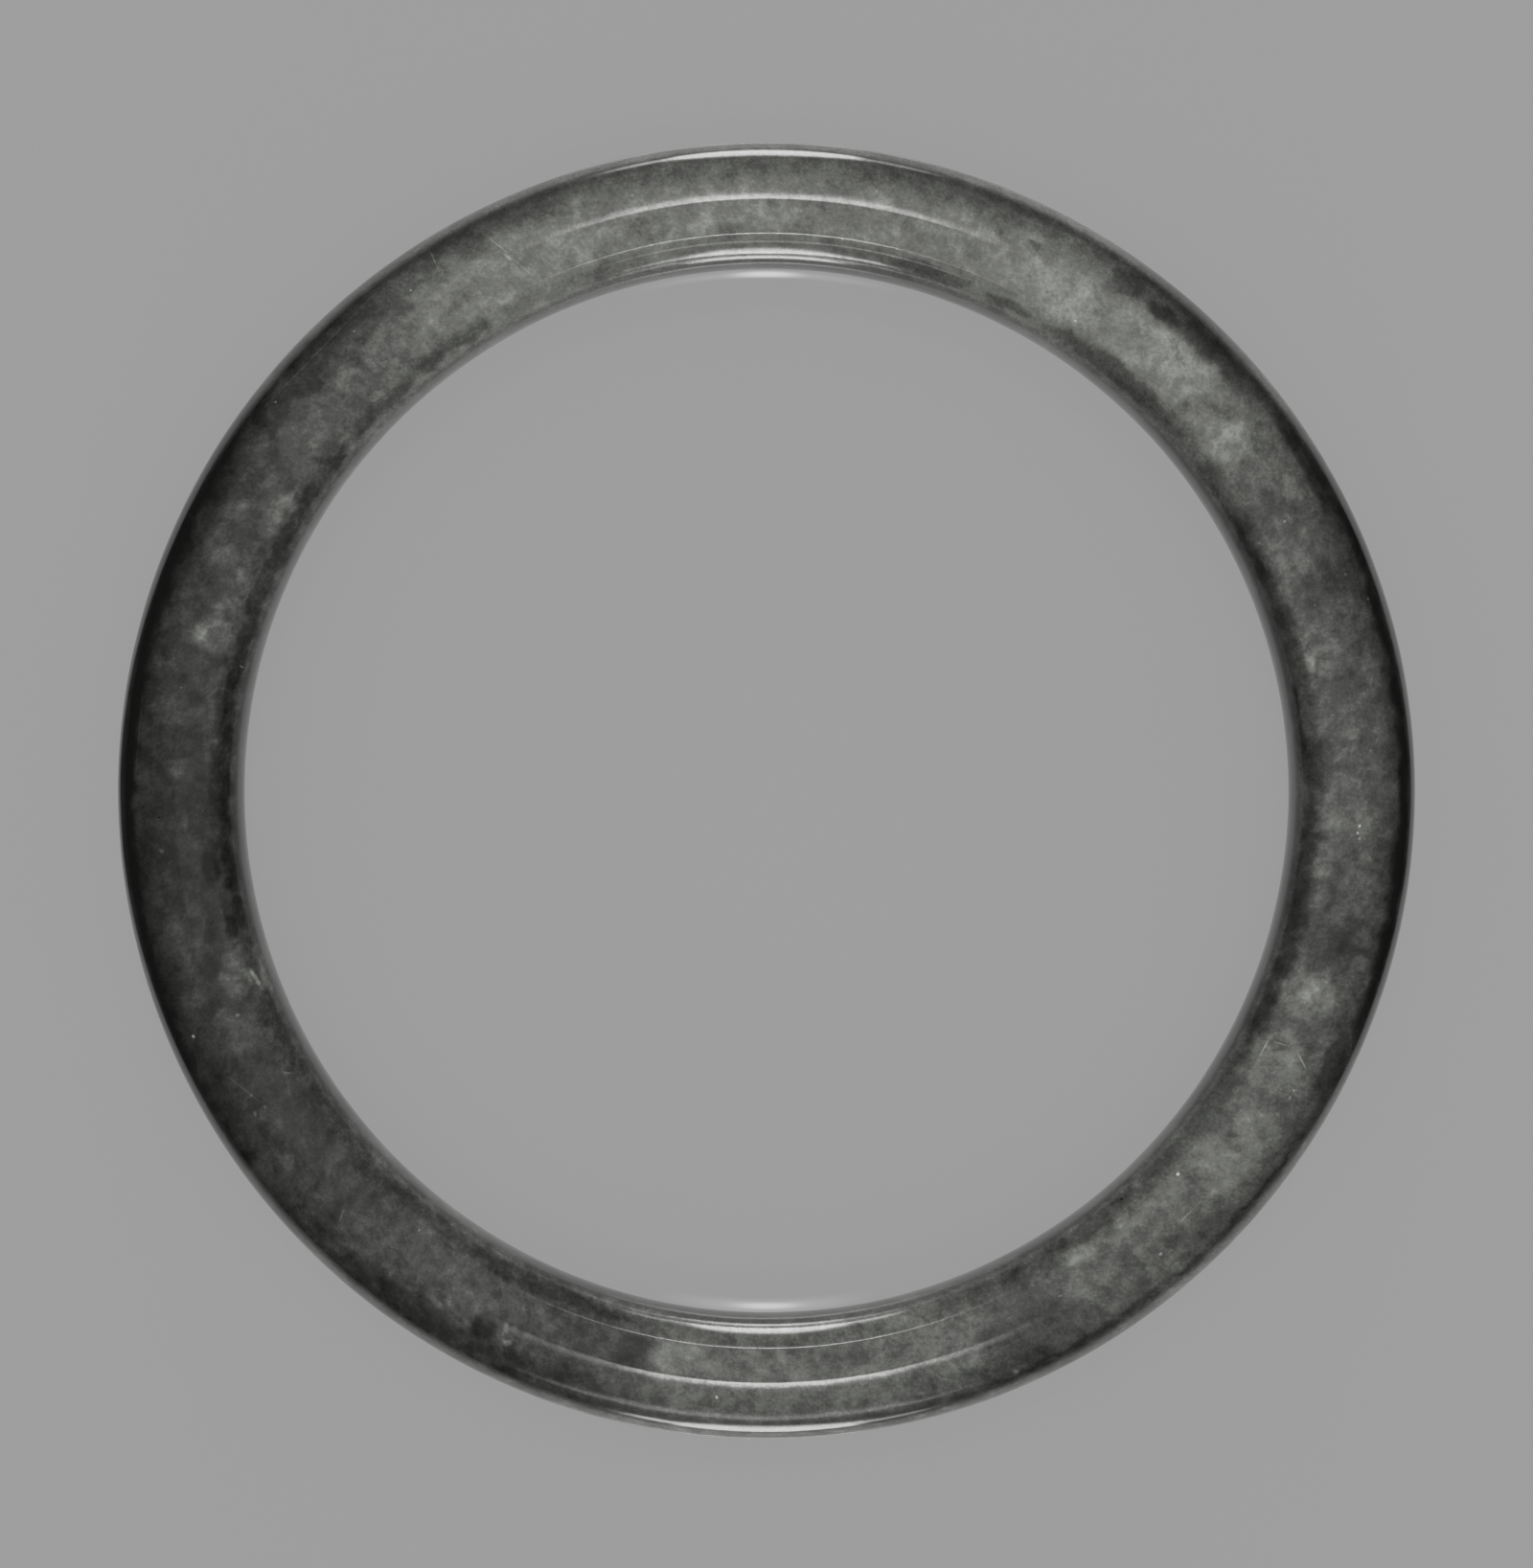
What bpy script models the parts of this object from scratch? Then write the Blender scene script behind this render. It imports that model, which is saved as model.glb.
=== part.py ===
"""Jade armlet: one ring of polished stone, its two upper faces meeting in a low crest, lying flat.

Metres, +Z up. The origin is the centre of the circle on which the armlet rests.
"""

import math

import bmesh
import bpy
import numpy as np

MM = 0.001

# Driving sizes
OUTER_RADIUS = 40.0 * MM
INNER_RADIUS = 32.29 * MM
CREST_RADIUS = 36.03 * MM  # of the circle along which the two upper faces meet
HEIGHT = 7.5 * MM  # lying down
FOOT_WEAR = 0.05 * MM  # depth worn off the underside, which leaves a flat about 0.9 mm wide
SEGMENTS = 96  # round the ring

# Each side of the section runs from the crest to its widest point in five arcs. The outer side has an
# upper face, a bevel, a shoulder, a flank and a wall. The inner side has an upper face, a soft edge, a
# bevel, a shoulder and a wall. A row is (radius, slope at the start, slope at the end, facets), and a slope
# is the surface's angle from level in degrees. The first and the last arc have no stated radius: they take
# the radii that bring the side to its width and its height.
OUTER_ARCS = (
    (None, 7.0, 22.0, 3),
    (2.0 * MM, 22.0, 41.0, 2),
    (1.2 * MM, 41.0, 62.0, 2),
    (5.5 * MM, 62.0, 79.0, 2),
    (None, 79.0, 90.0, 1),
)
INNER_ARCS = (
    (None, 4.5, 11.0, 2),
    (0.2 * MM, 11.0, 16.0, 1),
    (2.45 * MM, 16.0, 55.0, 4),
    (1.6 * MM, 55.0, 81.0, 2),
    (None, 81.0, 90.0, 1),
)

# Half the height of the section before the foot is worn
HALF_HEIGHT = (HEIGHT + FOOT_WEAR) / 2

JADE_COLOR = (0.13, 0.14, 0.12, 1.0)
JADE_ROUGHNESS = 0.15
JADE_IOR = 1.62


def clear_scene():
    for obj in list(bpy.data.objects):
        bpy.data.objects.remove(obj, do_unlink=True)


def arc_run(start, end):
    """Travel across and down along an arc of radius 1 whose slope goes from start to end."""
    return np.array((math.sin(end) - math.sin(start), math.cos(start) - math.cos(end)))


def side_arcs(reach, rows):
    """The rows in radians, with the face and wall radii that make the side span reach and HALF_HEIGHT."""
    slopes = [(math.radians(start), math.radians(end)) for _, start, end, _ in rows]
    runs = [arc_run(*pair) for pair in slopes]
    radii = [radius for radius, _, _, _ in rows]
    left = np.array((reach, HALF_HEIGHT))
    for radius, run in zip(radii[1:-1], runs[1:-1]):
        left -= radius * run
    radii[0], radii[-1] = np.linalg.solve(np.column_stack((runs[0], runs[-1])), left)
    return [(radius, *pair, row[-1]) for radius, pair, row in zip(radii, slopes, rows)]


def side_points(arcs, first_slope):
    """Points (across, down) from the place on the face with first_slope to the widest point."""
    face_radius, face_start, _, _ = arcs[0]
    place = face_radius * arc_run(face_start, first_slope)
    points = [tuple(place)]
    for radius, start, end, facets in arcs:
        slope = max(start, first_slope)
        for step in np.linspace(slope, end, facets + 1)[1:]:
            place = place + radius * arc_run(slope, step)
            slope = step
            points.append(tuple(place))
    return points


def half_section(arcs, sign):
    """One side's points (radius, height), from just past the crest round to the edge of the foot."""
    face_radius, face_start, _, _ = arcs[0]
    foot_slope = math.acos(math.cos(face_start) - FOOT_WEAR / face_radius)
    upper = [(x, HEIGHT - down) for x, down in side_points(arcs, face_start)[1:]]
    lower = [(x, down - FOOT_WEAR) for x, down in side_points(arcs, foot_slope)]
    return [(CREST_RADIUS + sign * x, z) for x, z in upper + lower[-2::-1]]


def section():
    """The closed section as (radius, height) points, from the crest out, round and back."""
    outer = half_section(side_arcs(OUTER_RADIUS - CREST_RADIUS, OUTER_ARCS), 1)
    inner = half_section(side_arcs(CREST_RADIUS - INNER_RADIUS, INNER_ARCS), -1)
    return [(CREST_RADIUS, HEIGHT)] + outer + inner[::-1]


def revolve(points):
    """A ring mesh from a closed section standing in the XZ plane."""
    ring = bmesh.new()
    corners = [ring.verts.new((radius, 0.0, height)) for radius, height in points]
    edges = [ring.edges.new(pair) for pair in zip(corners, corners[1:] + corners[:1])]
    bmesh.ops.spin(
        ring,
        geom=corners + edges,
        cent=(0.0, 0.0, 0.0),
        axis=(0.0, 0.0, 1.0),
        angle=math.tau,
        steps=SEGMENTS,
        use_merge=True,
        use_duplicate=False,
    )
    bmesh.ops.recalc_face_normals(ring, faces=ring.faces)
    mesh = bpy.data.meshes.new("armlet")
    ring.to_mesh(mesh)
    ring.free()
    mesh.shade_smooth()
    mesh.set_sharp_from_angle(angle=math.radians(30))
    return mesh


def jade():
    """Polished mottled grey-green nephrite, as its mean colour."""
    material = bpy.data.materials.new("jade")
    material.use_nodes = True
    shader = material.node_tree.nodes["Principled BSDF"]
    shader.inputs["Base Color"].default_value = JADE_COLOR
    shader.inputs["Metallic"].default_value = 0.0
    shader.inputs["Roughness"].default_value = JADE_ROUGHNESS
    shader.inputs["IOR"].default_value = JADE_IOR
    return material


def make_armlet():
    armlet = bpy.data.objects.new("armlet", revolve(section()))
    armlet.data.materials.append(jade())
    bpy.context.scene.collection.objects.link(armlet)


clear_scene()
make_armlet()
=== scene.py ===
"""Jade armlet lying flat on a pale surface: polished, mottled stone in soft studio light.

Metres, +Z up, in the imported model's frame. A place on the ring is a clock angle, in degrees clockwise from
+Y seen from above, and a distance out from the middle circle in millimetres, which is negative towards the
centre.
"""

import math

import bmesh
import bpy
import numpy as np
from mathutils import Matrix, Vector, noise


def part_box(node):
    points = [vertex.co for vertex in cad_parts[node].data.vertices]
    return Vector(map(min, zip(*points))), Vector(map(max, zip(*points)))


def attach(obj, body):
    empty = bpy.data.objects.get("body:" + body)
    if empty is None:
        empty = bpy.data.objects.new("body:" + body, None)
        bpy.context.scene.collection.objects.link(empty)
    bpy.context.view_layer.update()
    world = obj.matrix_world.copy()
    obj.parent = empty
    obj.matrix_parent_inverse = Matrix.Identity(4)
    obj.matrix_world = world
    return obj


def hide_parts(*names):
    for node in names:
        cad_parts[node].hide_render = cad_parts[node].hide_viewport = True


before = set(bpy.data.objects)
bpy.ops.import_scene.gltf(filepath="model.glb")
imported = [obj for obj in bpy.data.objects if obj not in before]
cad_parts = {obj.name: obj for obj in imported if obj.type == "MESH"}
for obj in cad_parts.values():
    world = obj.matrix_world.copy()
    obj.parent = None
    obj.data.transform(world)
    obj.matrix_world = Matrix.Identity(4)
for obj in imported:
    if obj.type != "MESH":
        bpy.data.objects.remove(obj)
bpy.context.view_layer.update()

MM = 0.001
LOWEST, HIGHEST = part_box("armlet")

# ---------------------------------------------------------------- shape of the ring

OUTER_RADIUS = HIGHEST.x
HEIGHT = HIGHEST.z - LOWEST.z
INNER_RADIUS = 32.29 * MM
CREST_RADIUS = 36.03 * MM  # of the circle along which the two upper faces meet
MIDDLE_RADIUS = 36.17 * MM  # of the circle that places across the ring are measured from
FOOT_WEAR = 0.05 * MM
HALF_HEIGHT = (HEIGHT + FOOT_WEAR) / 2

# Each side runs from the crest to its widest point in five arcs: outside, an upper face, a bevel, a
# shoulder, a flank and a wall; inside, an upper face, a soft edge, a bevel, a shoulder and a wall. A row is
# (radius, slope at the start, slope at the end), with slopes in degrees from level. The first and the last
# arc take the radii that bring the side to its width and its height.
OUTER_ARCS = (
    (None, 7.0, 22.0),
    (2.0 * MM, 22.0, 41.0),
    (1.2 * MM, 41.0, 62.0),
    (5.5 * MM, 62.0, 79.0),
    (None, 79.0, 90.0),
)
INNER_ARCS = (
    (None, 4.5, 11.0),
    (0.2 * MM, 11.0, 16.0),
    (2.45 * MM, 16.0, 55.0),
    (1.6 * MM, 55.0, 81.0),
    (None, 81.0, 90.0),
)

# Round the ring, one sector of faces is made and then repeated
SECTORS = 25
SECTOR_STEPS = 42
# Lengths of the faces across the ring: beside the crest, on each arc of an upper side, and on a lower side
CREST_STEP = 0.08 * MM
UPPER_STEPS = (0.17 * MM, 0.17 * MM, 0.17 * MM, 0.2 * MM, 0.4 * MM)
LOWER_STEP = 0.5 * MM
WELD_DISTANCE = 0.001 * MM

# The hand polish's gentle unevenness: length and height of each size of wave
WAVES = ((5.0 * MM, 0.012 * MM), (0.9 * MM, 0.0012 * MM))
CREST_WEAR_HEIGHT = 0.0008 * MM  # of the nicks that roughen the crest
CREST_WEAR_LENGTH = 0.35 * MM
CREST_FADE = (0.15, 0.45)  # millimetres from the crest over which its wear fades out
UPPER_FADE = (0.3, 0.5)  # shares of the height over which the clouds and wear of the upper side come in

# ---------------------------------------------------------------- tones of the stone, with painted shade and light on its sides

STOPS = 7.0  # doublings of brightness from the darkest tone to the palest

# How pale the stone is round the ring: clock angle, the share of light given back at the crest, and how many
# doublings paler it is at the inner rim and at the outer rim, where the change is partly the stone's own
# tone and partly painted shade and light of the sloping sides
ZONES = (
    (0, 0.235, -0.25, -0.75),
    (15, 0.25, -0.85, -1.25),
    (30, 0.26, -0.1, -0.85),
    (42, 0.24, -0.7, -2.3),
    (52, 0.17, -1.0, -0.7),
    (62, 0.12, -0.4, -0.8),
    (72, 0.109, -1.1, -0.75),
    (88, 0.144, -0.5, -1.4),
    (103, 0.102, -0.65, -0.8),
    (118, 0.147, -0.75, -0.95),
    (130, 0.178, -0.8, -1.15),
    (141, 0.152, -0.1, -0.4),
    (150, 0.121, -0.3, -0.95),
    (163, 0.153, 0.3, -0.75),
    (187, 0.177, -0.25, -0.2),
    (200, 0.071, 0.5, 0.0),
    (211, 0.1, 0.4, -0.8),
    (230, 0.065, 0.3, -0.4),
    (243, 0.058, 0.0, -1.45),
    (252, 0.058, 0.5, -1.2),
    (264, 0.041, -0.2, -0.9),
    (280, 0.057, 0.0, -0.65),
    (290, 0.075, 0.0, -1.75),
    (302, 0.091, 0.4, -2.05),
    (311, 0.108, 0.75, -1.2),
    (320, 0.17, 0.2, -1.75),
    (331, 0.25, 0.05, -1.6),
    (350, 0.28, -0.45, -1.1),
)

# Cloudy patches of the upper side: clock angle, distance from the middle, length in degrees, width in
# millimetres, and how much paler (or, if negative, darker) than the stone round it, in doublings
# The long narrow dark rows about 2 to 3 mm from the middle are partly the stone's own mottling and partly
# painted shade of the sloping shoulders
PATCHES = (
    (6.5, -2.3, 1.4, 1.2, -0.5), (4.0, -0.8, 3.0, 0.9, 0.2), (16.0, 1.4, 4.0, 1.2, -0.3),
    (16.5, -1.0, 3.0, 0.9, -0.3), (22.5, 0.6, 1.0, 0.6, -0.7), (26.3, 0.9, 1.0, 0.6, -0.7),
    (34.6, -0.8, 1.0, 0.6, -0.7), (22.0, -0.2, 4.0, 1.5, 0.4), (26.0, 1.4, 2.4, 0.7, 0.5),
    (36.0, -0.7, 18.0, 3.0, 0.3), (31.5, -1.0, 3.5, 1.6, 0.1), (42.5, 0.1, 5.5, 2.7, 0.4),
    (24.0, 2.6, 8.0, 0.6, -0.4), (35.5, 1.9, 3.5, 1.5, -0.9), (39.7, 1.7, 3.4, 1.0, -1.6),
    (46.0, 2.1, 8.0, 1.4, -1.0), (17.5, -2.9, 9.0, 0.8, -0.8), (26.5, -3.1, 5.0, 0.6, -0.8),
    (40.0, -2.9, 16.0, 1.1, -0.8),

    (68.0, 2.6, 44.0, 1.1, -0.7), (59.0, 2.4, 10.0, 0.9, -1.0), (75.0, 2.6, 6.0, 0.6, -0.9),
    (46.5, 0.1, 3.0, 2.7, 0.5), (52.7, -0.8, 4.0, 3.0, 0.6), (52.5, -1.0, 1.6, 2.5, 0.4),
    (60.0, -0.8, 2.2, 1.0, -0.6), (60.0, 0.7, 2.2, 1.0, 0.5), (62.7, -1.3, 0.9, 0.6, -0.6),
    (66.5, -1.1, 3.2, 2.1, 0.5), (69.7, 0.1, 4.8, 3.8, -0.5), (74.5, -1.6, 1.1, 0.6, -0.6),
    (75.7, -1.3, 4.6, 2.6, 0.5), (77.0, -2.2, 4.4, 0.5, 0.8), (78.5, 1.5, 3.2, 1.0, 0.5),
    (80.0, 0.8, 0.9, 0.7, -0.5), (84.2, -0.2, 1.6, 1.0, 0.5), (85.5, -0.3, 1.1, 1.2, -0.6),
    (86.7, -2.3, 5.8, 1.8, -1.0), (87.8, -1.2, 0.9, 0.7, -0.6), (64.0, -3.2, 8.0, 0.7, -1.2),
    (83.5, -3.4, 9.0, 0.6, -1.2),

    (100.0, 2.7, 24.0, 0.9, -1.3), (116.0, 2.1, 6.0, 1.1, -0.9), (128.5, 2.7, 11.0, 0.3, -0.9),
    (92.2, -1.6, 3.6, 1.5, 0.6), (94.8, -2.2, 0.6, 1.0, -0.8), (97.2, -1.9, 3.6, 1.0, 0.5),
    (101.5, -1.7, 2.2, 1.0, 0.5), (98.7, -1.0, 3.6, 1.0, -0.5), (105.0, -0.6, 4.2, 3.5, -0.7),
    (104.2, 1.5, 1.6, 1.7, 0.6), (107.0, 1.4, 2.2, 1.2, 0.5), (110.7, -0.9, 4.6, 3.3, 0.8),
    (109.5, -0.1, 1.3, 1.8, 0.5), (114.5, 1.1, 2.2, 0.7, 0.6), (116.5, -1.2, 1.1, 1.2, -0.9),
    (117.5, -0.9, 9.0, 2.4, 0.4), (120.7, 0.3, 2.6, 3.0, -0.4), (124.7, 0.3, 3.6, 3.0, 0.5),
    (126.5, -0.9, 0.7, 0.7, -0.7), (129.4, 0.0, 5.4, 3.6, 0.4), (132.2, 1.0, 1.6, 0.9, -0.6),
    (105.0, -2.9, 30.0, 0.9, -0.7),

    (147.0, 2.55, 26.0, 0.3, -0.8), (138.2, 0.7, 1.6, 0.8, -0.7), (140.5, -0.7, 5.0, 1.0, -0.5),
    (138.5, -1.6, 7.0, 2.1, 0.1), (146.7, -1.2, 5.6, 3.0, 0.5), (145.5, -2.0, 3.2, 0.8, 0.5),
    (154.0, 0.3, 10.0, 4.0, -0.5), (161.2, 0.5, 3.6, 1.4, 0.4), (162.0, -1.4, 8.0, 2.2, 0.4),
    (165.0, 2.3, 2.2, 0.8, -0.6), (167.0, -1.3, 2.2, 1.0, -0.5), (171.0, -1.3, 2.2, 1.6, -0.5),
    (177.5, -2.2, 1.1, 1.0, -0.5), (143.0, -2.9, 10.0, 0.8, -0.6), (154.0, -3.1, 4.2, 0.7, -0.6),

    (188.7, -1.3, 5.8, 2.1, 0.6), (193.4, -1.0, 3.4, 2.6, -0.9), (193.7, -1.3, 2.6, 1.7, -0.6),
    (209.0, 1.9, 32.0, 1.4, -0.8), (211.0, 1.1, 4.2, 1.1, 0.6), (205.6, 0.6, 1.5, 1.3, 0.4),
    (207.8, 0.8, 2.4, 1.5, -1.3), (214.5, 0.9, 1.1, 0.8, -0.5), (208.0, -1.1, 0.9, 0.7, -0.6),
    (209.0, -2.9, 32.0, 0.9, -0.8),

    (246.0, -0.6, 3.6, 2.0, 0.5), (250.7, -1.8, 4.6, 1.8, 0.8), (252.2, -0.6, 2.6, 1.3, -0.8),
    (255.7, -2.4, 2.6, 0.6, -1.5), (255.7, -1.2, 2.6, 0.5, -1.2), (262.3, -1.9, 3.6, 1.0, -1.6),
    (260.2, -2.8, 1.6, 0.6, -1.0), (267.0, -0.7, 2.2, 0.6, 0.8),

    (286.0, 2.7, 34.0, 1.1, -1.0), (272.2, -0.5, 2.6, 2.0, 0.8), (277.5, 0.0, 3.2, 2.4, 0.7),
    (273.5, -2.1, 1.1, 0.6, 0.6), (279.0, -0.9, 2.2, 0.7, -0.6), (283.9, -1.2, 1.3, 2.4, -0.8),
    (286.0, -1.0, 4.2, 2.1, 0.8), (287.0, -1.3, 0.9, 0.6, 0.8), (285.5, -0.6, 0.9, 0.6, 0.7),
    (288.7, -1.5, 0.8, 1.8, 0.8), (289.0, 1.25, 1.1, 0.7, 0.7), (294.2, 0.4, 3.6, 2.1, 0.6),
    (299.5, -1.8, 5.0, 1.4, 0.6), (300.0, -2.0, 4.2, 0.7, 0.6), (298.5, 0.2, 0.9, 0.6, 0.5),
    (302.0, -0.6, 2.2, 0.7, 0.5), (295.0, -1.8, 2.2, 0.7, -0.7), (303.2, -2.7, 1.6, 0.8, -0.7),
    (311.5, 0.9, 2.2, 0.8, -0.7), (314.2, -0.6, 1.6, 1.8, 0.5), (290.0, -3.0, 70.0, 0.9, -0.8),
    (315.5, 1.1, 18.0, 1.5, -0.5),

    (316.4, -0.5, 1.0, 1.7, -0.7), (318.0, 0.85, 1.0, 0.7, -0.5), (320.0, -0.4, 1.0, 0.7, -0.5),
    (323.2, 0.6, 1.8, 1.2, -0.6), (316.2, -2.1, 1.0, 0.6, 0.5), (327.0, 0.1, 2.2, 0.9, 0.5),
    (327.0, -0.9, 1.0, 0.7, -0.6), (331.5, 1.7, 3.2, 1.9, -0.7), (335.3, -0.6, 0.9, 0.8, -0.6),
    (332.0, -2.0, 2.2, 0.8, 0.5), (342.0, 1.4, 1.1, 1.2, 0.6), (340.0, 1.2, 1.5, 1.0, -0.5),
    (348.6, 1.8, 1.0, 0.7, -0.5), (348.0, -1.2, 4.2, 1.4, -0.5), (348.7, -1.2, 1.0, 0.6, 0.3),
    (352.5, -1.2, 3.2, 1.9, 0.15), (356.0, -1.8, 2.2, 0.7, -0.5), (359.0, 1.7, 2.2, 1.3, -0.4),
    (322.2, -2.9, 2.6, 0.9, -0.6), (327.2, -2.9, 4.6, 0.9, -0.6), (342.5, -2.9, 5.2, 0.9, -0.6),

    # Broad soft bands: painted shade along the outer wall at the east and west sides, a paler band low on
    # the inner wall at the west, and soft paler and darker bands on the upper faces
    (86.0, 3.2, 64.0, 1.3, -1.4), (274.0, 3.2, 70.0, 1.3, -1.2), (258.0, -3.95, 100.0, 1.1, 0.8),
    (170.0, 1.6, 9.0, 1.8, 0.4), (141.0, 1.6, 7.0, 2.0, 0.3), (325.0, 0.9, 14.0, 1.0, -0.3),
)
# Distances from the middle, in millimetres, over which a rim's tone comes in, and then a wall's. Outside, a
# darker edge of painted shade lies between the two.
INNER_RIM = (1.9, 3.1)
OUTER_RIM = (0.6, 2.7)
INNER_WALL = (3.35, 3.7)
OUTER_EDGE = (2.35, 2.8)
OUTER_WALL = (2.95, 3.25)
# How much paler or darker they are, in doublings: painted shade on the inner wall and on the outer edge,
# painted light on the outer wall. ZONES has the rims' changes.
INNER_WALL_PAINTED_SHADE = -0.8
OUTER_EDGE_PAINTED_SHADE = -0.6
OUTER_WALL_PAINTED_LIGHT = 1.2
PATCH_EDGE = 0.3  # share of a patch's half width over which it fades
# Millimetres that the patches' outlines stray, and the size of the bends that this puts in them
PATCH_WANDER = 0.35
PATCH_BEND = 1.3
# Sizes in millimetres and strengths of the stone's own clouding
GRAIN = ((3.0, 0.4), (1.5, 0.32), (0.8, 0.33), (0.4, 0.28))
# The small dark flakes: their size in millimetres, the noise over which one's edge fades, and doublings
FLAKE = 1.1
FLAKE_EDGE = (0.12, 0.24)
FLAKE_CHANGE = -0.35
# The clouding is weaker where the stone is pale: the tone at which it is whole, and its least and most
CLOUD_TONE = -2.7
CLOUD_RANGE = (0.25, 1.3)
# Metres by which these noises are shifted, so that no two are alike: the flakes, and the outlines' straying
# across the ring and along it
FLAKE_SHIFT = 0.17
ACROSS_SHIFT = 0.05
ALONG_SHIFT = 0.11

# The marks below are whole out to MARK_CORE, as a share of their half size, and fade out where their bent
# outline lies: the size of its bends, and the slope and the start that turn the noise into that share
MARK_CORE = 0.4
MARK_BEND = 0.3 * MM
MARK_EDGE = (1.2, 0.4)
MARK_DEPTH = 0.8  # share of the height that a mark reaches down the sides

# Flecks, nicks and scratches, and one painted highlight line: clock angle; distance from the middle, length
# and width in millimetres; the turn in degrees from lying along the ring; and how much paler or darker, in
# doublings
MARKS = (
    (62.5, -0.6, 0.28, 0.22, 0, 1.6), (69.5, 1.55, 0.26, 0.2, 0, 1.8), (71.3, -0.87, 0.26, 0.2, 0, 1.5),
    (72.3, 2.4, 0.26, 0.2, 0, 2.2), (93.4, 0.05, 0.3, 0.22, 0, 1.7), (94.1, -0.05, 0.26, 0.2, 0, 1.8),
    (94.6, 0.1, 0.24, 0.2, 0, 1.6), (119.6, 0.82, 0.24, 0.2, 0, 1.4), (120.4, 0.82, 0.24, 0.2, 0, 1.4),
    (133.0, -1.87, 0.32, 0.28, 0, 2.2), (139.6, 0.93, 0.28, 0.22, 0, 1.7), (156.8, 2.5, 0.5, 0.4, 0, 1.8),
    (184.7, 0.95, 0.2, 0.28, 0, 2.4), (218.3, -2.0, 0.2, 0.24, 0, 1.1), (225.0, 0.45, 0.26, 1.1, 28, 1.0),
    (232.6, 0.6, 0.4, 0.5, 0, 0.8), (237.7, 0.72, 0.42, 0.26, -20, 1.4), (237.8, 0.0, 0.34, 0.24, 0, 1.1),
    (239.4, 0.33, 0.24, 0.32, 0, 1.3), (246.8, 1.9, 0.3, 0.24, 20, 3.2), (247.0, -1.15, 0.26, 0.34, 0, 1.6),
    (239.5, -2.25, 0.2, 0.6, -30, 1.3), (257.5, -2.1, 0.4, 0.26, 0, 1.3), (264.3, 0.9, 0.3, 0.5, -30, 1.5),
    (267.5, 0.9, 0.14, 0.26, 20, -3.0), (280.0, 0.05, 0.22, 0.16, 0, 1.6),
    (283.3, -3.2, 0.16, 0.3, -20, 2.8),
    (308.4, 2.05, 0.2, 0.2, 0, 2.8), (318.1, 1.5, 0.16, 0.16, 0, 2.0), (324.6, 1.3, 0.18, 0.18, 0, 1.8),
    (347.3, 1.05, 0.24, 0.2, 0, 0.8), (7.8, -2.2, 0.2, 0.16, 0, 0.8), (13.5, -2.15, 0.2, 0.16, 0, 0.8),
    (10.4, 1.0, 0.2, 0.16, 0, 0.8), (33.3, -1.87, 0.22, 0.18, 0, 0.9), (149.9, -0.55, 0.5, 0.12, 0, 1.2),
    (155.2, -0.8, 0.5, 0.12, 0, 1.2), (135.0, 0.25, 2.5, 0.1, 0, 1.0), (139.0, -2.55, 2.4, 0.08, 0, 0.7),
    (139.0, -3.1, 0.22, 0.18, 0, -2.5), (116.8, 0.4, 0.13, 1.5, -35, 1.3), (116.2, -1.25, 0.12, 1.1, 8, 1.2),
    (117.3, -2.0, 2.1, 0.1, 0, 1.0), (205.2, 1.05, 0.7, 0.6, 0, 1.5), (205.9, 0.25, 0.45, 1.2, 15, 1.2),
    (240.0, 0.45, 0.08, 5.4, -68, 0.9), (249.8, -2.95, 1.7, 0.34, 10, 1.7), (275.0, 2.3, 6.3, 0.1, 0, 0.8),
    # The long thin pale line at 314 degrees, 2.15 mm out, is a painted highlight along a faint ridge of the
    # outer face
    (314.0, 2.15, 14.0, 0.12, 0, 0.8), (328.0, 2.3, 0.09, 1.9, -8, 1.3), (333.8, 0.9, 0.1, 2.3, 25, 0.8),
    (335.0, -0.9, 0.1, 1.9, 25, 0.8), (334.2, -0.05, 0.3, 0.7, 25, 1.0),
)


def smooth(value, low, high):
    """0 at low and 1 at high, with an easy start and end."""
    share = np.clip((value - low) / (high - low), 0, 1)
    return share * share * (3 - 2 * share)


# ---------------------------------------------------------------- building the ring


def arc_run(start, end):
    """Travel across and down along an arc of radius 1 whose slope goes from start to end."""
    return np.array((math.sin(end) - math.sin(start), math.cos(start) - math.cos(end)))


def side_arcs(reach, rows):
    """The rows in radians, with the face and wall radii that make the side span reach and HALF_HEIGHT."""
    slopes = [(math.radians(start), math.radians(end)) for _, start, end in rows]
    runs = [arc_run(*pair) for pair in slopes]
    radii = [radius for radius, _, _ in rows]
    left = np.array((reach, HALF_HEIGHT))
    for radius, run in zip(radii[1:-1], runs[1:-1]):
        left -= radius * run
    radii[0], radii[-1] = np.linalg.solve(np.column_stack((runs[0], runs[-1])), left)
    return [(radius, *pair) for radius, pair in zip(radii, slopes)]


def side_place(arcs, distance):
    """The place (across, down) at a distance along the side's surface from the crest."""
    place = np.zeros(2)
    for radius, start, end in arcs:
        turn = min(distance / radius, end - start)
        place += radius * arc_run(start, start + turn)
        distance = max(distance - radius * turn, 0.0)
    return place


def spaced(start, end, step):
    """Distances from start up to end, end left out, close to one step apart."""
    return list(np.linspace(start, end, max(round((end - start) / step), 1), endpoint=False))


def side_points(arcs, distances):
    return [tuple(side_place(arcs, distance)) for distance in distances]


def upper_side(arcs):
    """Points (across, down) of an upper side from just past the crest to the widest point."""
    ends = np.cumsum([radius * (end - start) for radius, start, end in arcs])
    distances = [CREST_STEP]
    for start, end, step in zip((2 * CREST_STEP, *ends), ends, UPPER_STEPS):
        distances += spaced(start, end, step)
    return side_points(arcs, [*distances, ends[-1]])


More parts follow.
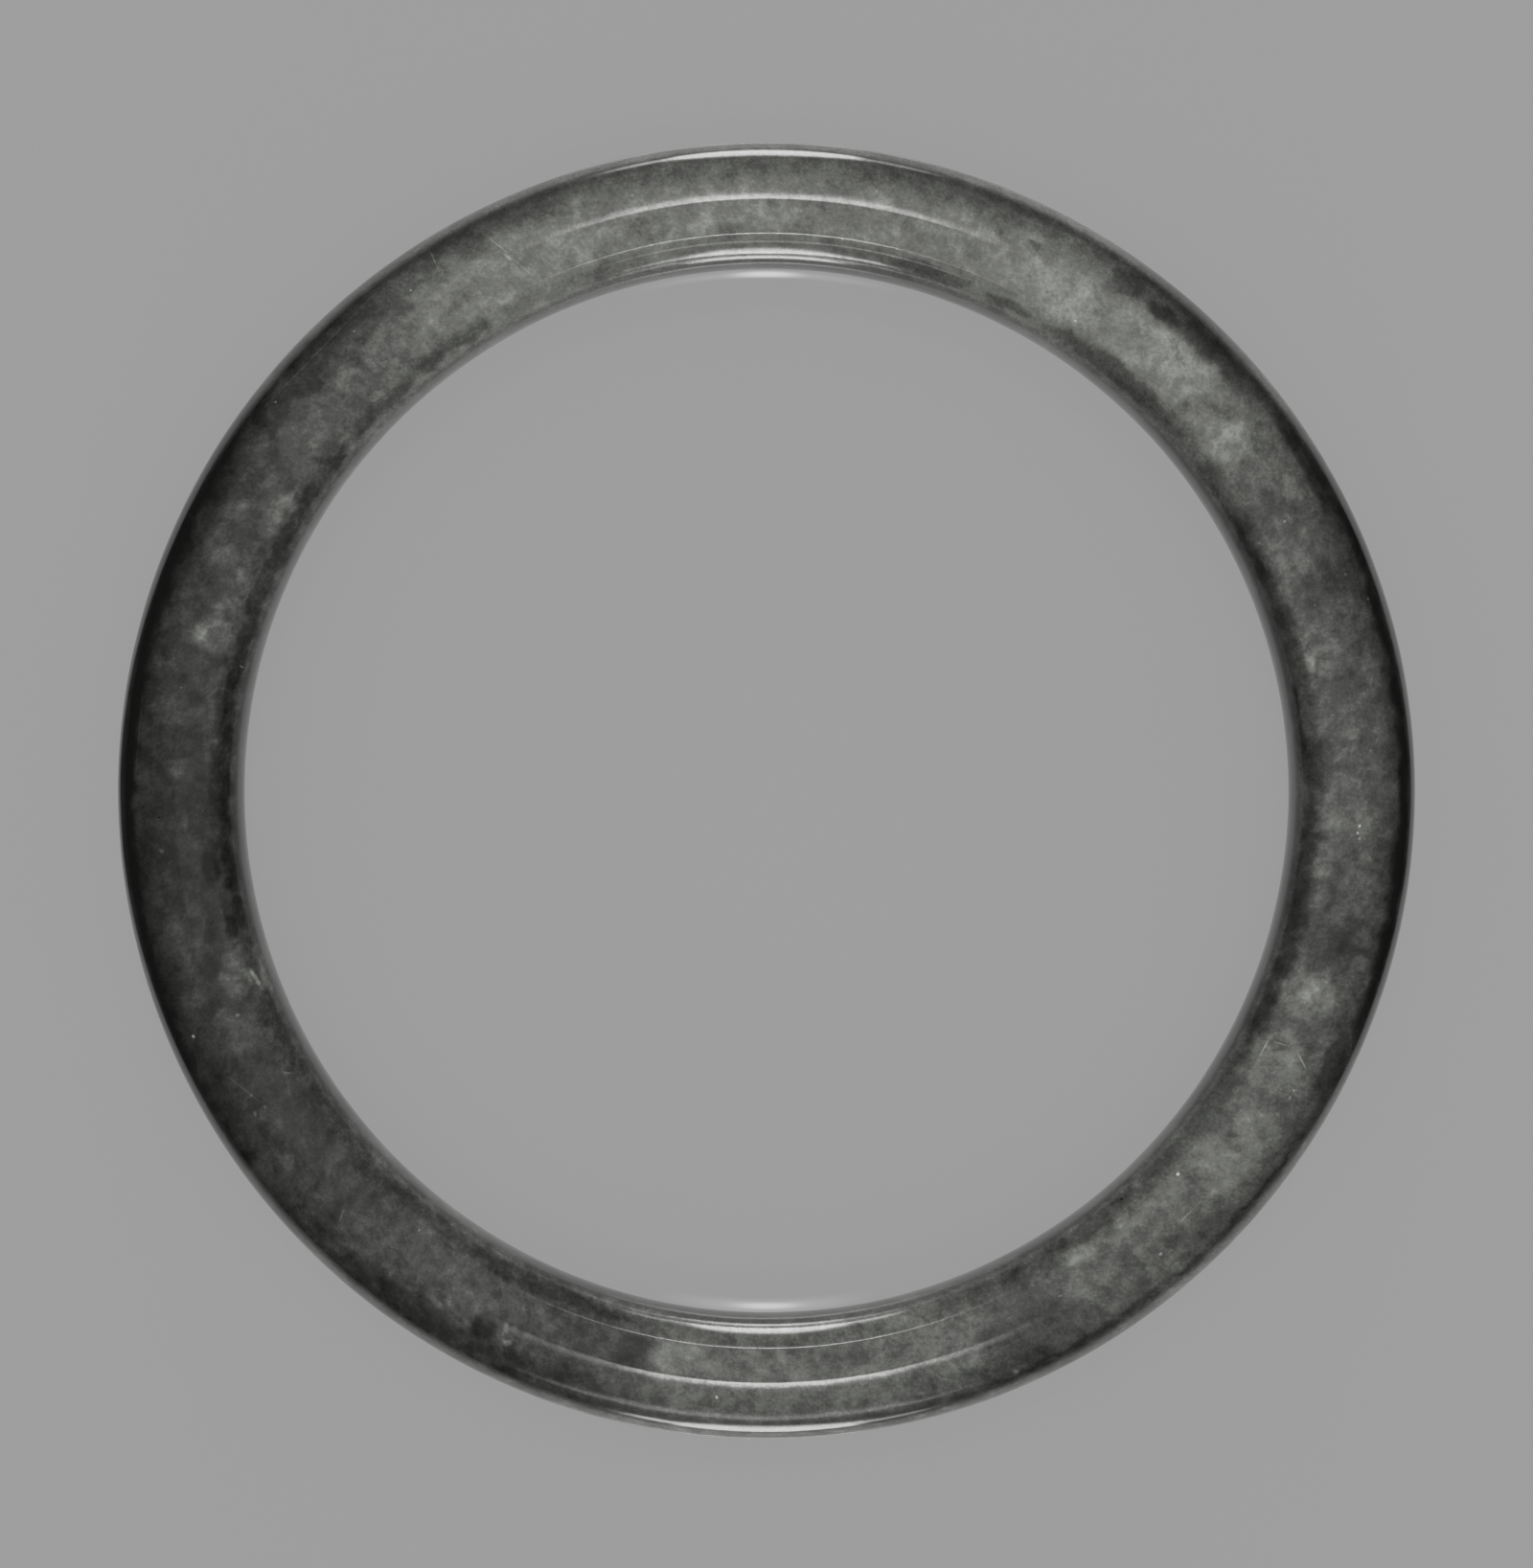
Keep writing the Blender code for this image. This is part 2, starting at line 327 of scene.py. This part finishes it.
def lower_side(arcs):
    """Points (across, down) of a lower side from the foot's edge to the last before the widest point."""
    face_radius, face_start, _ = arcs[0]
    foot = face_radius * (math.acos(math.cos(face_start) - FOOT_WEAR / face_radius) - face_start)
    whole = sum(radius * (end - start) for radius, start, end in arcs)
    return side_points(arcs, spaced(foot, whole, LOWER_STEP))


def half_section(arcs, sign):
    """One side's points (radius, height), from just past the crest round to the edge of the foot."""
    upper = [(x, HEIGHT - down) for x, down in upper_side(arcs)]
    lower = [(x, down - FOOT_WEAR) for x, down in lower_side(arcs)]
    return [(CREST_RADIUS + sign * x, z) for x, z in upper + lower[::-1]]


def section():
    """The closed section as (radius, height) points, from the crest out, round and back."""
    outer = half_section(side_arcs(OUTER_RADIUS - CREST_RADIUS, OUTER_ARCS), 1)
    inner = half_section(side_arcs(CREST_RADIUS - INNER_RADIUS, INNER_ARCS), -1)
    return [(CREST_RADIUS, HEIGHT)] + outer + inner[::-1]


def revolve(points):
    """A ring mesh from a closed section standing in the XZ plane."""
    ring = bmesh.new()
    corners = [ring.verts.new((radius, 0.0, height)) for radius, height in points]
    edges = [ring.edges.new(pair) for pair in zip(corners, corners[1:] + corners[:1])]
    sector = math.tau / SECTORS
    turn = {"cent": (0.0, 0.0, 0.0), "axis": (0.0, 0.0, 1.0)}
    bmesh.ops.spin(ring, geom=corners + edges, angle=sector, steps=SECTOR_STEPS, **turn)
    whole = ring.verts[:] + ring.edges[:] + ring.faces[:]
    bmesh.ops.spin(ring, geom=whole, angle=math.tau - sector, steps=SECTORS - 1, use_duplicate=True, **turn)
    bmesh.ops.remove_doubles(ring, verts=ring.verts, dist=WELD_DISTANCE)
    bmesh.ops.recalc_face_normals(ring, faces=ring.faces)
    mesh = bpy.data.meshes.new("armlet_stone")
    ring.to_mesh(mesh)
    ring.free()
    mesh.shade_smooth()
    return mesh


def read_points(mesh, name):
    """The vertices' co or normal as an array with a row for each."""
    values = np.empty(len(mesh.vertices) * 3, np.float32)
    mesh.vertices.foreach_get(name, values)
    return values.reshape(-1, 3).astype(float)


def noise_at(points, size, octaves=3):
    """Smooth noise at each point, about -1 to 1, whose lumps are about size across."""
    return np.array([noise.fractal(Vector(p) / size, 1.0, 2.0, octaves) for p in points])


def ring_places(points):
    """Clock angles in degrees, distances out from the middle in millimetres, and 1 on the upper side."""
    clock = np.degrees(np.arctan2(points[:, 0], points[:, 1])) % 360
    across = (np.hypot(points[:, 0], points[:, 1]) - MIDDLE_RADIUS) / MM
    upper = smooth(points[:, 2] / HEIGHT, *UPPER_FADE)
    return clock, across, upper


def crest_share(across, upper):
    """1 along the crest of the upper side, falling to 0 beside it."""
    crest = (CREST_RADIUS - MIDDLE_RADIUS) / MM
    return upper * (1 - smooth(np.abs(across - crest), *CREST_FADE))


def wear_surface(mesh):
    """Moves the surface in and out: the polish's gentle waves, and the nicks along the crest."""
    points = read_points(mesh, "co")
    _, across, upper = ring_places(points)
    shift = sum(height * noise_at(points, length, octaves=2) for length, height in WAVES)
    on_crest = crest_share(across, upper)
    near = on_crest > 0
    shift[near] += CREST_WEAR_HEIGHT * noise_at(points[near], CREST_WEAR_LENGTH) * on_crest[near]
    points += read_points(mesh, "normal") * shift[:, None]
    mesh.vertices.foreach_set("co", points.astype(np.float32).ravel())
    mesh.update()


def stone_paleness_with_painted_shade(points):
    """How pale the stone is at each point, with the painted shade and light of its rims and walls, from 0 to
    1 over STOPS doublings.
    """
    clock, across, upper = ring_places(points)
    zone_clock, *zone_values = zip(*ZONES)
    zone_rows = [np.interp(clock, zone_clock, row, period=360) for row in zone_values]
    share, inner_rim_tone_and_shade, outer_rim_tone_and_shade = zone_rows
    doublings = np.log2(share)
    # The rims' changes are partly the stone's own tone and partly painted shade and light of the sloping
    # sides
    doublings += inner_rim_tone_and_shade * smooth(-across, *INNER_RIM) + outer_rim_tone_and_shade * smooth(across, *OUTER_RIM)
    # Painted shade on the inner wall and the outer edge, and painted light on the outer wall
    doublings += INNER_WALL_PAINTED_SHADE * smooth(-across, *INNER_WALL)
    doublings += OUTER_EDGE_PAINTED_SHADE * smooth(across, *OUTER_EDGE)
    doublings += OUTER_WALL_PAINTED_LIGHT * smooth(across, *OUTER_WALL)
    clouds = sum(strength * noise_at(points, size * MM) for size, strength in GRAIN)
    clouds += FLAKE_CHANGE * smooth(noise_at(points + FLAKE_SHIFT, FLAKE * MM), *FLAKE_EDGE)
    doublings += clouds * np.clip(np.log2(share) / CLOUD_TONE, *CLOUD_RANGE)
    across = across + PATCH_WANDER * noise_at(points + ACROSS_SHIFT, PATCH_BEND * MM)
    degree = math.radians(1) * MIDDLE_RADIUS / MM
    wander_along = PATCH_WANDER * noise_at(points + ALONG_SHIFT, PATCH_BEND * MM) / degree
    for patch_clock, patch_across, length, width, change in PATCHES:
        along = (clock - patch_clock + 180) % 360 - 180 + wander_along
        out = np.hypot(along / (length / 2), (across - patch_across) / (width / 2))
        doublings += change * upper * (1 - smooth(out, 1 - PATCH_EDGE, 1 + PATCH_EDGE))
    return np.clip(doublings / STOPS + 1, 0, 1)


def add_attribute(mesh, name, values):
    mesh.attributes.new(name, "FLOAT", "POINT").data.foreach_set("value", values.astype(np.float32))


def make_stone():
    mesh = revolve(section())
    points = read_points(mesh, "co")
    _, across, upper = ring_places(points)
    add_attribute(mesh, "paleness", stone_paleness_with_painted_shade(points))
    add_attribute(mesh, "crest", crest_share(across, upper))
    wear_surface(mesh)
    stone = bpy.data.objects.new("armlet_stone", mesh)
    bpy.context.scene.collection.objects.link(stone)
    return stone


# ---------------------------------------------------------------- finishes

JADE_TINT = (0.97, 1.0, 0.92)
JADE_IOR = 1.62
# The finest mottling: its size, detail and roughness, and its strength, which falls as the tone gets paler
SPECKLE = (0.24 * MM, 2.0, 0.9)
SPECKLE_TONES = (0.6, 0.72)
SPECKLE_STRENGTHS = (0.35, 0.24)
# The polish's roughness: its least, how much it varies, the size of the variation, and more along the crest
HAZE = 0.09
HAZE_CHANGE = 0.06
HAZE_SIZE = 0.8 * MM
CREST_HAZE = 0.02
# The smallest unevenness of the polish
BUMP_STRENGTH = 0.1
BUMP_HEIGHT = 0.02 * MM
BUMP_SIZE = 0.3 * MM


class Nodes:
    """A node tree that is written one node at a time."""

    def node(self, kind, inputs=None, **settings):
        made = self.tree.nodes.new("ShaderNode" + kind)
        for key, value in settings.items():
            setattr(made, key, value)
        for socket, value in (inputs or {}).items():
            self.feed(made.inputs[socket], value)
        return made

    def feed(self, socket, value):
        if isinstance(value, bpy.types.NodeSocket):
            self.tree.links.new(value, socket)
        else:
            socket.default_value = value

    def math(self, operation, a, b=0.0, clamp=False):
        return self.node("Math", {0: a, 1: b}, operation=operation, use_clamp=clamp).outputs[0]

    def line(self, value, slope, start):
        """value times slope, plus start."""
        return self.node("Math", {0: value, 1: slope, 2: start}, operation="MULTIPLY_ADD").outputs[0]

    def fade(self, value, ends, results):
        """Goes smoothly from the first result to the second as value goes from one end to the other."""
        inputs = {"Value": value, "From Min": ends[0], "From Max": ends[1]}
        inputs.update({"To Min": results[0], "To Max": results[1]})
        return self.node("MapRange", inputs, interpolation_type="SMOOTHSTEP").outputs["Result"]

    def mix(self, share, a, b):
        return self.node("MixShader", {0: share, 1: a, 2: b}).outputs[0]


class Finish(Nodes):
    """A material."""

    def __init__(self, name):
        self.material = bpy.data.materials.new(name)
        self.material.use_nodes = True
        self.tree = self.material.node_tree
        self.shader = self.tree.nodes["Principled BSDF"]

    def attribute(self, name):
        return self.node("Attribute", attribute_name=name).outputs["Fac"]

    def noise(self, size, detail=3.0, roughness=0.55):
        """Noise from 0 to 1 in the piece's own coordinates, whose lumps are about size across."""
        place = self.node("TexCoord").outputs["Object"]
        inputs = {"Vector": place, "Scale": 1 / size, "Detail": detail, "Roughness": roughness}
        return self.node("TexNoise", inputs).outputs["Fac"]

    def ramp(self, value, rows):
        made = self.node("ValToRGB", {"Fac": value})
        elements = made.color_ramp.elements
        while len(elements) < len(rows):
            elements.new(1.0)
        for element, (place, color) in zip(elements, rows):
            element.position = place
            element.color = (*color, 1.0)
        return made.outputs["Color"]


class Lighting(Nodes):
    """The light from all round."""

    def __init__(self, name):
        self.block = bpy.data.worlds.new(name)
        self.block.use_nodes = True
        self.tree = self.block.node_tree
        self.tree.nodes.clear()
        self.output = self.node("OutputWorld")

    def sky(self, strength):
        return self.node("Background", {"Color": (1.0, 1.0, 1.0, 1.0), "Strength": strength}).outputs[0]


def stone_colors():
    """The stone's tones from black-green to pale grey-green, one doubling apart."""
    rows = []
    for stop in range(int(STOPS) + 1):
        share = 2.0 ** (stop - STOPS)
        rows.append((stop / STOPS, [part * share for part in JADE_TINT]))
    return rows


def marks(jade):
    """The change in paleness that the flecks, nicks, scratches and the painted highlight line make, from
    their own small ovals.
    """
    place = jade.node("TexCoord").outputs["Object"]
    bends = jade.node("TexNoise", {"Vector": place, "Scale": 1 / MARK_BEND, "Detail": 1.0}).outputs["Fac"]
    edge = jade.line(bends, *MARK_EDGE)
    total = 0.0
    for clock, across, length, width, turn, change in MARKS:
        angle = math.radians(clock)
        out = MIDDLE_RADIUS + across * MM
        local = jade.node("Mapping", {"Vector": place}, vector_type="TEXTURE")
        local.inputs["Location"].default_value = (out * math.sin(angle), out * math.cos(angle), HEIGHT)
        local.inputs["Rotation"].default_value = (0.0, 0.0, math.radians(turn) - angle)
        local.inputs["Scale"].default_value = (length * MM / 2, width * MM / 2, MARK_DEPTH * HEIGHT)
        far = jade.node("VectorMath", {0: local.outputs[0]}, operation="LENGTH").outputs["Value"]
        inputs = {"Value": far, "From Min": edge, "From Max": MARK_CORE}
        share = jade.node("MapRange", inputs).outputs["Result"]
        total = jade.math("ADD", total, jade.math("MULTIPLY", share, change / STOPS))
    return total


def polished_jade():
    jade = Finish("polished_jade")
    tone = jade.attribute("paleness")
    speckle = jade.math("SUBTRACT", jade.noise(*SPECKLE), 0.5)
    speckle = jade.math("MULTIPLY", speckle, jade.fade(tone, SPECKLE_TONES, SPECKLE_STRENGTHS))
    paleness = jade.math("ADD", tone, speckle)
    paleness = jade.math("ADD", paleness, marks(jade), clamp=True)
    jade.feed(jade.shader.inputs["Base Color"], jade.ramp(paleness, stone_colors()))
    crest = jade.math("MULTIPLY", jade.attribute("crest"), CREST_HAZE)
    haze = jade.line(jade.noise(HAZE_SIZE), HAZE_CHANGE, HAZE)
    jade.feed(jade.shader.inputs["Roughness"], jade.math("ADD", haze, crest))
    jade.shader.inputs["IOR"].default_value = JADE_IOR
    inputs = {"Strength": BUMP_STRENGTH, "Distance": BUMP_HEIGHT, "Height": jade.noise(BUMP_SIZE)}
    jade.feed(jade.shader.inputs["Normal"], jade.node("Bump", inputs).outputs["Normal"])
    return jade.material


# ---------------------------------------------------------------- floor, light and camera

FLOOR_RADIUS = 4.0
FLOOR_SEGMENTS = 96
FLOOR_COLOR = (0.06, 0.06, 0.06, 1.0)
FLOOR_ROUGHNESS = 0.9
FLOOR_LIGHT = 0.336  # of the floor and the backdrop as they are seen
FLOOR_GLOW = 0.322  # the part that the floor gives off by itself, as it lights the stone
FLOOR_SHOWN = 0.302  # the same, as the camera sees it
FLOOR_IOR = 1.7  # of the floor's thin gloss, which only the stone's polish shows, and most at a low angle
# Where the polish sees dark cards at the sides and not lit floor: how far aside of a line a little right of
# the middle they start, and over what wedge, as along over aside. Each fades between its two values.
CARD_CENTER = 0.9 * MM
CARD_START = (43.6 * MM, 44.8 * MM)
CARD_WEDGE = (0.45, 0.85)
# Where the polish sees the low lamps' light on the floor's gloss: over what wedge, as aside over along; from
# what place on +Y it is measured; over what distances it ends inside the ring and starts again beyond it;
# and its strength
STREAK_WEDGE = 0.145
STREAK_CENTER = 3.0 * MM
STREAK_INSIDE = (13.0 * MM, 21.0 * MM)
STREAK_OUTSIDE = (55.0 * MM, 76.0 * MM)
STREAK_LIGHT = 9.0
# Painted light on the floor, which only the camera sees, where the inner wall throws the low lamps' light:
# the side on Y, radius, half width, half wedge as aside over along, and light
GLINTS = (
    (1, 32.3 * MM, 0.3 * MM, 0.09, 0.34),
    (1, 32.3 * MM, 0.3 * MM, 0.3, 0.09),
    (-1, 32.24 * MM, 0.3 * MM, 0.09, 0.22),
    (-1, 32.26 * MM, 0.6 * MM, 0.24, 0.11),
)
# The light overhead as the polished stone mirrors it: how much more there is straight above than low down,
# how fast it falls off, and what there is low down
GLOW_TOP = 0.32
GLOW_FALL = 7.0
GLOW_LOW = 0.03
# The same for the broad light that fills in the stone's own tones, which falls off evenly
SOFT_TOP = 0.45
SOFT_LOW = 0.2
GLOSS_FALL = 6.0  # how fast the backdrop in the floor's gloss falls off overhead

LAMP_DISTANCE = 3.0
# Name, clock angle, elevation, width and height as angles in degrees seen from the ring, and radiance. The
# low lamps stand on the floor, which hides their lower halves.
LAMPS = (
    ("north_low_taller", -0.3, 0.0, 17.5, 36.0, 8.0),
    ("north_low_tallest", -0.3, 0.0, 18.5, 46.0, 2.5),
    ("south_low_taller", 179.7, 0.0, 17.0, 36.0, 6.0),
    ("south_low_tallest", 179.7, 0.0, 18.0, 46.0, 2.0),
    ("north_high", 0.0, 66.4, 8.0, 4.2, 11.0),
    ("north_high_wide", 0.0, 66.4, 13.5, 4.2, 10.0),
    ("north_high_widest", 0.0, 66.4, 22.0, 4.2, 1.3),
    ("south_high", 180.0, 66.5, 8.0, 3.1, 8.0),
    ("south_high_wide", 178.5, 66.5, 12.5, 3.1, 10.0),
    ("south_high_widest", 180.0, 66.5, 22.0, 3.1, 3.0),
    ("south_middle", 182.0, 40.5, 31.0, 3.6, 2.7),
)
# The same, for the bright parts of the low lamps, which only show as gleams in the polish
GLEAMS = (
    ("north_low", -0.3, 0.0, 17.0, 14.0, 50.0),
    ("north_low_tall", -0.3, 0.0, 17.0, 25.0, 15.0),
    ("north_left", -12.0, 0.0, 5.2, 20.0, 4.0),
    ("north_right", 12.3, 0.0, 5.0, 18.0, 2.5),
    ("south_low", 179.7, 0.0, 16.6, 14.0, 50.0),
    ("south_low_tall", 179.7, 0.0, 16.6, 25.0, 10.0),
    ("south_left", 168.0, 0.0, 5.4, 14.0, 3.0),
    ("south_right", 190.6, 0.0, 4.6, 20.0, 6.0),
)

CAMERA_HEIGHT = 293.7 * MM
CAMERA_OFFSET = 0.41 * MM  # towards +Y
CAMERA_LENS = 107.8
CAMERA_SENSOR = 36.0
CAMERA_CLIP = (0.01, 20.0)
# The print's tones are true up to PLAIN, and the brightest light prints as BRIGHTEST
PLAIN = 0.55
BRIGHTEST = 0.74


class FloorFinish(Finish):
    """Matte and evenly lit, with painted glints that only the camera sees, but the stone's polish sees a
    thin gloss on it, with cards and lamps.
    """

    def __init__(self, name):
        super().__init__(name)
        self.place = self.node("TexCoord").outputs["Object"]
        axes = self.node("SeparateXYZ", {"Vector": self.place})
        self.x, self.y = axes.outputs["X"], axes.outputs["Y"]
        self.aside, self.along = [self.math("ABSOLUTE", axis) for axis in (self.x, self.y)]

    def distance(self, value, place):
        return self.math("ABSOLUTE", self.math("SUBTRACT", value, place))

    def choose(self, share, a, b):
        """a where the share is 0 and b where it is 1."""
        return self.node("Mix", {"Factor": share, "A": a, "B": b}).outputs["Result"]

    def cards(self):
        """1 where a dark card stands at a side."""
        far = self.fade(self.distance(self.x, CARD_CENTER), CARD_START, (0.0, 1.0))
        level = self.fade(self.math("DIVIDE", self.along, self.aside), CARD_WEDGE, (1.0, 0.0))
        return self.math("MULTIPLY", far, level)

    def streak(self):
        """1 where the gloss carries the low lamps' light."""
        ahead = self.distance(self.y, STREAK_CENTER)
        inside = self.fade(ahead, STREAK_INSIDE, (1.0, 0.0))
        outside = self.fade(ahead, STREAK_OUTSIDE, (0.0, 1.0))
        narrow = self.math("LESS_THAN", self.aside, self.math("MULTIPLY", self.along, STREAK_WEDGE))
        return self.math("MULTIPLY", self.math("ADD", inside, outside), narrow)

    def glints(self):
        """Painted light on the floor where the inner wall throws the low lamps' light."""
        total = 0.0
        out = self.node("VectorMath", {0: self.place}, operation="LENGTH").outputs["Value"]
        for side, radius, width, wedge, light in GLINTS:
            band = self.fade(self.distance(out, radius), (0.0, width), (light, 0.0))
            along = self.math("MAXIMUM", self.math("MULTIPLY", self.y, side), 0.001 * MM)
            share = self.fade(self.math("DIVIDE", self.aside, along), (0.0, wedge), (1.0, 0.0))
            total = self.math("ADD", total, self.math("MULTIPLY", band, share))
        return total


def floor_finish():
    finish = FloorFinish("pale_floor")
    finish.shader.inputs["Base Color"].default_value = FLOOR_COLOR
    finish.shader.inputs["Roughness"].default_value = FLOOR_ROUGHNESS
    finish.shader.inputs["Specular IOR Level"].default_value = 0.0
    finish.shader.inputs["Emission Color"].default_value = (1.0, 1.0, 1.0, 1.0)
    path = finish.node("LightPath")
    lit = finish.math("SUBTRACT", 1.0, finish.cards())
    in_polish = finish.line(finish.streak(), STREAK_LIGHT, finish.math("MULTIPLY", lit, FLOOR_GLOW))
    glow = finish.choose(path.outputs["Is Glossy Ray"], FLOOR_GLOW, in_polish)
    # Painted glints beside the inner foot, which only the camera sees
    shown = finish.math("ADD", finish.glints(), FLOOR_SHOWN)
    glow = finish.choose(path.outputs["Is Camera Ray"], glow, shown)
    finish.feed(finish.shader.inputs["Emission Strength"], glow)
    mirror = finish.node("BsdfGlossy", {"Roughness": 0.0}).outputs[0]
    share = finish.node("Fresnel", {"IOR": FLOOR_IOR}).outputs[0]
    share = finish.math("MULTIPLY", share, finish.math("SUBTRACT", 1.0, path.outputs["Is Camera Ray"]))
    surface = finish.mix(share, finish.shader.outputs[0], mirror)
    finish.feed(finish.tree.nodes["Material Output"].inputs["Surface"], surface)
    return finish.material


def make_floor():
    shape = bmesh.new()
    bmesh.ops.create_circle(shape, cap_ends=True, segments=FLOOR_SEGMENTS, radius=FLOOR_RADIUS)
    mesh = bpy.data.meshes.new("floor")
    shape.to_mesh(mesh)
    shape.free()
    mesh.materials.append(floor_finish())
    floor = bpy.data.objects.new("floor", mesh)
    bpy.context.scene.collection.objects.link(floor)


def make_world():
    """Soft light from above: a glow that the polish mirrors, and a broader one that lights the stone."""
    world = Lighting("studio")
    up = world.node("SeparateXYZ", {0: world.node("TexCoord").outputs["Generated"]})
    above = world.math("MAXIMUM", up.outputs["Z"], 0.0)
    glow = world.line(world.math("POWER", above, GLOW_FALL), GLOW_TOP, GLOW_LOW)
    soft = world.line(above, SOFT_TOP, SOFT_LOW)
    # The floor's gloss shows the backdrop at a low angle, and nothing overhead or at the dark sides
    low = world.line(world.math("POWER", above, GLOSS_FALL), -FLOOR_LIGHT, FLOOR_LIGHT)
    aside, along = [world.math("ABSOLUTE", up.outputs[axis]) for axis in "XY"]
    path = world.node("LightPath")
    open_side = world.fade(world.math("DIVIDE", along, aside), CARD_WEDGE, (0.0, 1.0))
    mirrored = world.math("MULTIPLY", low, open_side)
    lit = world.mix(path.outputs["Is Glossy Ray"], world.sky(soft), world.sky(glow))
    lit = world.mix(path.outputs["Is Singular Ray"], lit, world.sky(mirrored))
    seen = world.mix(path.outputs["Is Camera Ray"], lit, world.sky(FLOOR_LIGHT))
    world.feed(world.output.inputs["Surface"], seen)
    bpy.context.scene.world = world.block


def aim(obj, place, target):
    obj.location = place
    obj.rotation_euler = (Vector(target) - Vector(place)).to_track_quat("-Z", "Y").to_euler()


def make_lamp(name, clock, elevation, width, height, radiance):
    """A soft oval lamp aimed at the ring, which the camera doesn't see."""
    data = bpy.data.lights.new(name, "AREA")
    data.shape = "ELLIPSE"
    data.size = 2 * LAMP_DISTANCE * math.tan(math.radians(width / 2))
    data.size_y = 2 * LAMP_DISTANCE * math.tan(math.radians(height / 2))
    area = math.pi / 4 * data.size * data.size_y
    data.energy = radiance * math.pi * area
    lamp = bpy.data.objects.new(name, data)
    lamp.visible_camera = False
    rise = math.radians(elevation)
    turn = math.radians(clock)
    level = LAMP_DISTANCE * math.cos(rise)
    place = (level * math.sin(turn), level * math.cos(turn), LAMP_DISTANCE * math.sin(rise) + HEIGHT)
    aim(lamp, place, (0.0, 0.0, HEIGHT))
    bpy.context.scene.collection.objects.link(lamp)
    return lamp


def make_camera():
    data = bpy.data.cameras.new("camera")
    data.lens = CAMERA_LENS
    data.sensor_width = CAMERA_SENSOR
    data.clip_start, data.clip_end = CAMERA_CLIP
    camera = bpy.data.objects.new("camera", data)
    camera.location = (0.0, CAMERA_OFFSET, CAMERA_HEIGHT)
    bpy.context.scene.collection.objects.link(camera)
    bpy.context.scene.camera = camera


def set_print_tones():
    """Plain tones, with the brightest light held to a light grey."""
    view = bpy.context.scene.view_settings
    view.view_transform = "Standard"
    view.use_curve_mapping = True
    tones = view.curve_mapping
    tones.extend = "HORIZONTAL"
    line = tones.curves[3]
    line.points[1].location = (1.0, BRIGHTEST)
    line.points.new(PLAIN, PLAIN)
    for point in line.points:
        point.handle_type = "VECTOR"
    tones.update()


stone = make_stone()
stone.data.materials.append(polished_jade())
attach(stone, "root")
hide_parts("armlet")

make_floor()
make_world()
for row in LAMPS:
    make_lamp(*row)
for row in GLEAMS:
    make_lamp(*row).visible_diffuse = False
make_camera()
set_print_tones()
